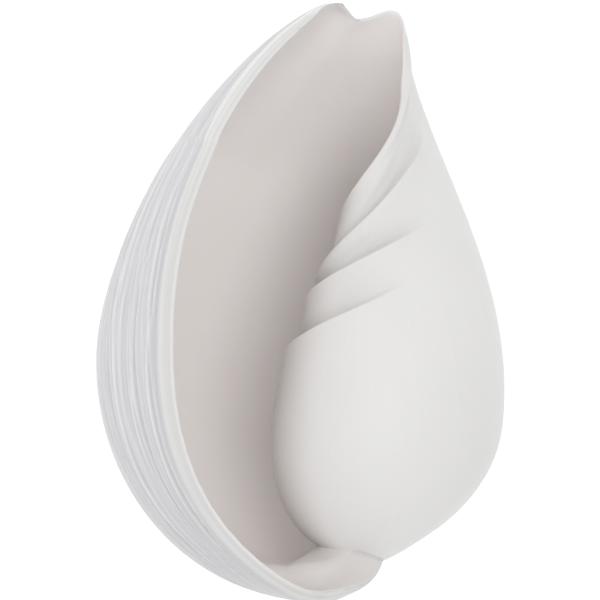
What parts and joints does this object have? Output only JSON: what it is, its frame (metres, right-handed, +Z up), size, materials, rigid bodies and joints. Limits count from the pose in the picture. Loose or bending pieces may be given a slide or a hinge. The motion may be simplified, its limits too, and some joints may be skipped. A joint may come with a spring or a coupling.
{
  "type": "conch shell",
  "caption": "White baler shell, a large conch-like sea snail shell with a wide open mouth, slanted folds on its pillar and a sunken spire, lying on its back.",
  "frame": {"origin": "centre of the shell's box at the surface it lies on", "axes": "+Y along the long way towards the siphonal notch, +Z up out of the mouth, +X towards the swollen body whorl"},
  "size_m": [0.1726, 0.2336, 0.137],
  "materials": {
    "shell": "satin"
  },
  "bodies": {
    "root": {"shell": "shell"}
  },
  "joints": []
}
